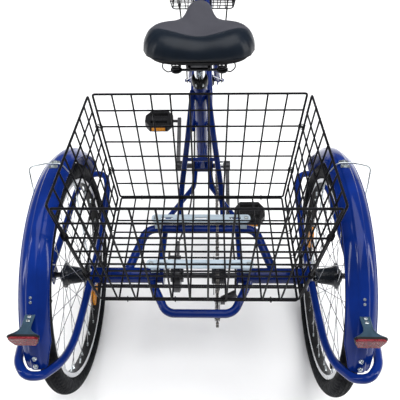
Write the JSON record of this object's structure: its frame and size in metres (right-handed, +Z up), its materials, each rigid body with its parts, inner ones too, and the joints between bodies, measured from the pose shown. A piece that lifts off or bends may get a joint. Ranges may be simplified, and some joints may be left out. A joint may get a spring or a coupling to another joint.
{
  "type": "adult tricycle",
  "caption": "Adult pedal tricycle with step-through frame, wide sprung saddle, full mudguards, wheel guard hoops and wire baskets; it steers, pedals and rolls.",
  "frame": {"origin": "on the floor under the middle of the whole tricycle", "axes": "+Y forward, +Z up, +X to the rider's right"},
  "size_m": [0.803, 1.5984, 1.0546],
  "materials": {
    "frame_paint": "gloss enamel",
    "housing_paint": "gloss enamel",
    "fender_paint": "gloss enamel",
    "basket_coating": "satin plastic dip",
    "bright_steel": "bright zinc",
    "chrome_trim": "polished",
    "rim_alloy": "brushed",
    "dark_steel": "blackened",
    "tyre_rubber": "moulded tread",
    "grip_rubber": "moulded",
    "saddle_vinyl": "gloss vinyl",
    "black_plastic": "satin",
    "reflector_red": "prismatic",
    "chain_steel": "oiled",
    "cable_black": "satin"
  },
  "bodies": {
    "frame": {"seat_tube": "frame_paint", "front_tubes": "frame_paint", "head_tube": "frame_paint", "seat_stays": "frame_paint", "chain_stays": "frame_paint", "axle_housing": "housing_paint", "front_hoop": "frame_paint", "rear_bumper": "frame_paint", "wheel_guard_left": "frame_paint", "wheel_guard_right": "frame_paint", "support_plates": "bright_steel", "bearings": "bright_steel", "brake_band": "dark_steel", "derailleur": "dark_steel", "fender_left": "fender_paint", "fender_right": "fender_paint", "fender_brackets": "bright_steel", "reflector_lenses": "reflector_red", "basket_floor": "basket_coating", "basket_front_wall": "basket_coating", "basket_rear_wall": "basket_coating", "basket_left_wall": "basket_coating", "basket_right_wall": "basket_coating", "frame_bolts": "bright_steel", "chain": "chain_steel", "frame_cables": "cable_black"},
    "derailleur_cage": {"derailleur_cage": "dark_steel"},
    "seat": {"seat_post": "chrome_trim", "saddle_cover": "saddle_vinyl", "saddle_base": "black_plastic", "saddle_rails": "dark_steel", "saddle_springs": "dark_steel"},
    "steering": {"fork": "frame_paint", "stem": "chrome_trim", "handlebar": "chrome_trim", "grips": "grip_rubber", "lever_mounts": "black_plastic", "front_fender": "fender_paint", "front_basket": "basket_coating", "steering_cables": "cable_black"},
    "brake_lever_left": {"brake_lever_left": "black_plastic"},
    "brake_lever_right": {"brake_lever_right": "black_plastic"},
    "front_wheel": {"front_tyre": "tyre_rubber", "front_rim": "rim_alloy", "front_hub": "dark_steel", "front_spokes": "bright_steel"},
    "rear_left_wheel": {"rear_left_tyre": "tyre_rubber", "rear_left_rim": "rim_alloy", "rear_left_hub": "dark_steel", "rear_left_spokes": "bright_steel"},
    "drive_axle": {"drive_axle": "dark_steel", "cassette": "dark_steel", "rear_right_tyre": "tyre_rubber", "rear_right_rim": "rim_alloy", "rear_right_hub": "dark_steel", "rear_right_spokes": "bright_steel"},
    "crank": {"cranks": "dark_steel", "chainring": "chrome_trim"},
    "pedal_left": {"pedal_left": "black_plastic"},
    "pedal_right": {"pedal_right": "black_plastic"}
  },
  "joints": [
    {"name": "seat_height", "type": "slide", "parent": "frame", "child": "seat", "axis": [0, -0.309, 0.9511], "range_m": [-0.02, 0.09]},
    {"name": "steering_turn", "type": "hinge", "parent": "frame", "child": "steering", "pos_m": [0, 0.30852, 0.7], "axis": [0, -0.342, 0.9397], "range_deg": [-35, 35]},
    {"name": "front_wheel_spin", "type": "hinge", "parent": "steering", "child": "front_wheel", "pos_m": [0, 0.502, 0.3], "axis": [1, 0, 0], "continuous": true},
    {"name": "rear_left_wheel_spin", "type": "hinge", "parent": "frame", "child": "rear_left_wheel", "pos_m": [-0.332, -0.448, 0.3], "axis": [1, 0, 0], "continuous": true},
    {"name": "drive_axle_spin", "type": "hinge", "parent": "frame", "child": "drive_axle", "pos_m": [0, -0.448, 0.3], "axis": [1, 0, 0], "continuous": true},
    {"name": "crank_spin", "type": "hinge", "parent": "frame", "child": "crank", "pos_m": [0, 0.012, 0.28], "axis": [1, 0, 0], "continuous": true},
    {"name": "pedal_left_spin", "type": "hinge", "parent": "crank", "child": "pedal_left", "pos_m": [-0.152, 0.1673, 0.34914], "axis": [1, 0, 0], "continuous": true},
    {"name": "pedal_right_spin", "type": "hinge", "parent": "crank", "child": "pedal_right", "pos_m": [0.152, -0.1433, 0.21085], "axis": [1, 0, 0], "continuous": true},
    {"name": "brake_lever_left_pull", "type": "hinge", "parent": "steering", "child": "brake_lever_left", "pos_m": [-0.332, 0.188, 1.032], "axis": [0, 0, 1], "range_deg": [0, 7], "stiffness_Nm_per_rad": 2},
    {"name": "brake_lever_right_pull", "type": "hinge", "parent": "steering", "child": "brake_lever_right", "pos_m": [0.332, 0.188, 1.032], "axis": [0, 0, 1], "range_deg": [-7, 0], "stiffness_Nm_per_rad": 2},
    {"name": "derailleur_cage_swing", "type": "hinge", "parent": "frame", "child": "derailleur_cage", "pos_m": [0.06, -0.482, 0.232], "axis": [1, 0, 0], "range_deg": [-12, 12], "stiffness_Nm_per_rad": 2}
  ],
  "couplings": [
    {"joint": "crank_spin", "follows": "drive_axle_spin", "ratio": 0.52632}
  ]
}
